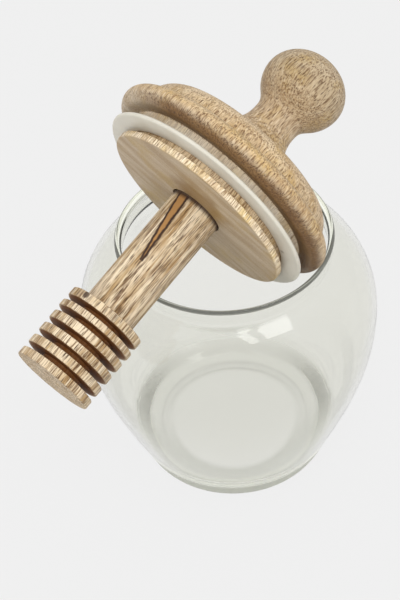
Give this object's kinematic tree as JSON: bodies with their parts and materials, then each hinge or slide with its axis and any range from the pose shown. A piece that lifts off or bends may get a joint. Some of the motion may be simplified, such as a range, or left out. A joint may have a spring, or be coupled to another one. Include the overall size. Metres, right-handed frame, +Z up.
{
  "type": "glass honey jar",
  "caption": "Clear round-bellied glass jar with its turned wooden lid leaning in the open mouth; a ribbed honey dipper is fixed to the lid's underside, above a soft seal.",
  "frame": {"origin": "middle of the jar's flat base, on the surface it stands on", "axes": "+Z up along the jar's own axis; the dipper points towards -X and -Y and the knob towards +X and +Y"},
  "size_m": [0.1461, 0.143, 0.1981],
  "materials": {
    "clear_glass": "clear, polished",
    "mango_wood": "sanded and lightly oiled",
    "dipper_wood": "sanded, bare",
    "silicone": "translucent, satin"
  },
  "bodies": {
    "root": {"glass_jar": "clear_glass", "lid_wood": "mango_wood", "seal_ring": "silicone", "dipper_rod": "dipper_wood"}
  },
  "joints": []
}
